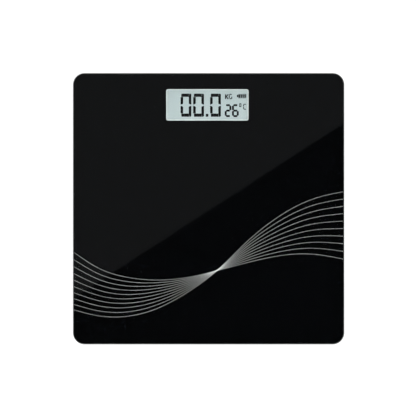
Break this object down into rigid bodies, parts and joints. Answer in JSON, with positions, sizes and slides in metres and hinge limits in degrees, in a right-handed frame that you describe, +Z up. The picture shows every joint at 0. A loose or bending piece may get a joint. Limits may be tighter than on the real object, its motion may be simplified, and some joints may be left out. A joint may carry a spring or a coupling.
{
  "type": "electronic bathroom scale",
  "caption": "Slim square electronic bathroom scale with a black glass platform, a pale display window at one edge, weighing feet, and a battery door and unit button underneath.",
  "frame": {"origin": "on the floor, under the middle of the glass platform", "axes": "+Z up, +Y towards the display edge, +X to the user's right"},
  "size_m": [0.26, 0.26, 0.0233],
  "materials": {
    "platform_glass": "polished toughened float glass",
    "printed_film": "black print, matt behind",
    "foam_tape": "closed-cell foam tape",
    "tray_plastic": "fine spark texture",
    "screw_steel": "zinc plated",
    "white_silicone": "soft satin",
    "pale_plastic": "satin",
    "polariser": "matt",
    "display_glass": "clear",
    "reflector_film": "satin",
    "zebra_rubber": "striped",
    "board_laminate": "solder resist",
    "black_epoxy": "gloss",
    "components": "ceramic and can parts",
    "switch_plastic": "satin",
    "button_plastic": "satin",
    "battery_jacket": "printed steel can",
    "nickel_steel": "nickel plated",
    "red_insulation": "PVC",
    "white_insulation": "PVC",
    "black_insulation": "PVC",
    "cell_steel": "stamped, nickel plated",
    "cap_plastic": "moulded ABS",
    "foot_plastic": "moulded ABS",
    "pad_rubber": "matt"
  },
  "bodies": {
    "scale": {"glass_platform": "platform_glass", "backing_film": "printed_film", "rim_tape": "foam_tape", "cap_tape_rings": "foam_tape", "base_tray": "tray_plastic", "cap_screws": "screw_steel", "gauge_coatings": "white_silicone", "display_tape": "foam_tape", "display_frame": "pale_plastic", "lcd_polariser": "polariser", "lcd_front_glass": "display_glass", "lcd_rear_glass": "display_glass", "lcd_reflector": "reflector_film", "zebra_strip": "zebra_rubber", "circuit_board": "board_laminate", "controller_blob": "black_epoxy", "board_components": "components", "thermistor": "black_epoxy", "board_screws": "screw_steel", "frame_screws": "screw_steel", "tact_switch": "switch_plastic", "battery_hinge_end": "battery_jacket", "battery_latch_end": "battery_jacket", "contact_bridge": "nickel_steel", "contact_positive": "nickel_steel", "contact_negative": "nickel_steel", "red_sensor_wires": "red_insulation", "white_sensor_wires": "white_insulation", "black_sensor_wires": "black_insulation", "red_battery_wire": "red_insulation", "black_battery_wire": "black_insulation", "load_cell_rear_right": "cell_steel", "cell_cap_rear_right": "cap_plastic", "load_cell_rear_left": "cell_steel", "cell_cap_rear_left": "cap_plastic", "load_cell_front_right": "cell_steel", "cell_cap_front_right": "cap_plastic", "load_cell_front_left": "cell_steel", "cell_cap_front_left": "cap_plastic"},
    "battery_door": {"battery_door": "tray_plastic"},
    "unit_button": {"unit_button": "button_plastic", "switch_plunger": "switch_plastic"},
    "foot_rear_right": {"foot_rear_right": "foot_plastic", "foot_pad_rear_right": "pad_rubber"},
    "foot_rear_left": {"foot_rear_left": "foot_plastic", "foot_pad_rear_left": "pad_rubber"},
    "foot_front_right": {"foot_front_right": "foot_plastic", "foot_pad_front_right": "pad_rubber"},
    "foot_front_left": {"foot_front_left": "foot_plastic", "foot_pad_front_left": "pad_rubber"}
  },
  "joints": [
    {"name": "foot_press_rear_right", "type": "slide", "parent": "scale", "child": "foot_rear_right", "axis": [0, 0, 1], "range_m": [0, 0.0004], "stiffness_N_per_m": 4000, "springref_m": -0.0008, "deforming": ["load_cell_rear_right"]},
    {"name": "foot_press_rear_left", "type": "slide", "parent": "scale", "child": "foot_rear_left", "axis": [0, 0, 1], "range_m": [0, 0.0004], "stiffness_N_per_m": 4000, "springref_m": -0.0008, "deforming": ["load_cell_rear_left"]},
    {"name": "foot_press_front_right", "type": "slide", "parent": "scale", "child": "foot_front_right", "axis": [0, 0, 1], "range_m": [0, 0.0004], "stiffness_N_per_m": 4000, "springref_m": -0.0008, "deforming": ["load_cell_front_right"]},
    {"name": "foot_press_front_left", "type": "slide", "parent": "scale", "child": "foot_front_left", "axis": [0, 0, 1], "range_m": [0, 0.0004], "stiffness_N_per_m": 4000, "springref_m": -0.0008, "deforming": ["load_cell_front_left"]},
    {"name": "battery_door_hinge", "type": "hinge", "parent": "scale", "child": "battery_door", "pos_m": [0.027, 0.034, 0.0052], "axis": [0, 1, 0], "range_deg": [-100, 0]},
    {"name": "unit_button_press", "type": "slide", "parent": "scale", "child": "unit_button", "axis": [0, 0, 1], "range_m": [0, 0.0004], "stiffness_N_per_m": 400, "springref_m": -0.0004}
  ]
}
